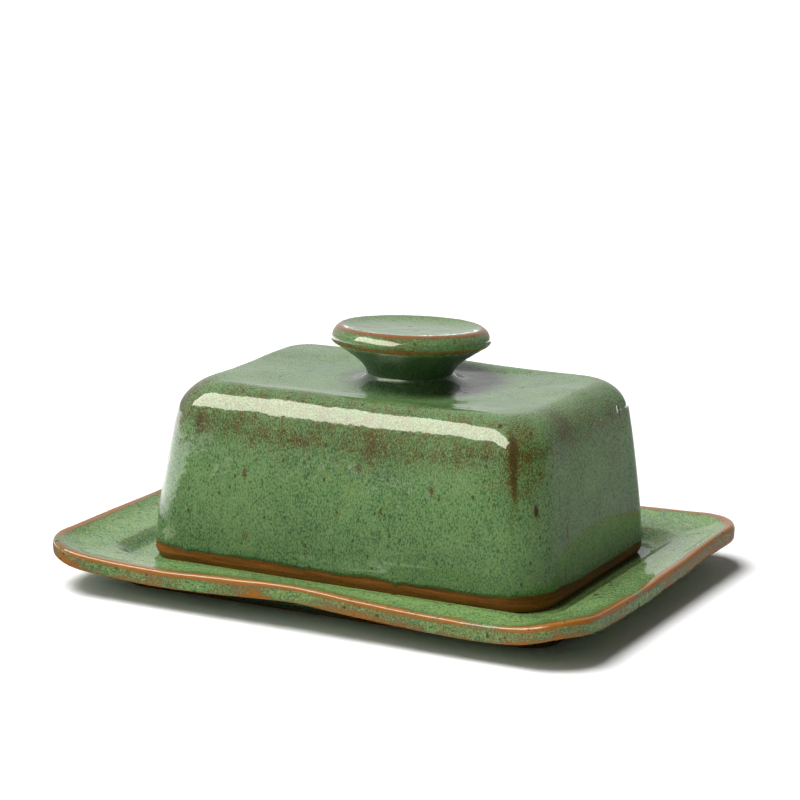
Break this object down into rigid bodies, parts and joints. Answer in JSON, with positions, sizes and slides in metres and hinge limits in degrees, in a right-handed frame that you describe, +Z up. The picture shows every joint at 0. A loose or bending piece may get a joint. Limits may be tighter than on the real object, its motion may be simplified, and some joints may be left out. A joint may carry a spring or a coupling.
{
  "type": "covered butter dish",
  "caption": "Rectangular stoneware butter dish: a footed tray with a flared rim and a recessed well, and a box-shaped lift-off cover with a thrown disc knob.",
  "frame": {"origin": "on the table under the middle of the dish", "axes": "+X runs along the dish to its right-hand end, -Y is its front, +Z up through the knob"},
  "size_m": [0.1946, 0.1416, 0.0869],
  "materials": {
    "dish_glaze": "glossy speckled green glaze",
    "bare_clay": "matte fired stoneware",
    "cover_glaze": "glossy speckled green glaze over a bare clay band",
    "knob_glaze": "glossy speckled green glaze"
  },
  "bodies": {
    "dish": {"dish": "dish_glaze", "dish_foot": "bare_clay"},
    "cover": {"cover": "cover_glaze", "knob": "knob_glaze", "knob_coil": "knob_glaze"}
  },
  "joints": [
    {"name": "cover_lift", "type": "slide", "parent": "dish", "child": "cover", "axis": [0, 0, 1], "range_m": [0, 0.12]}
  ]
}
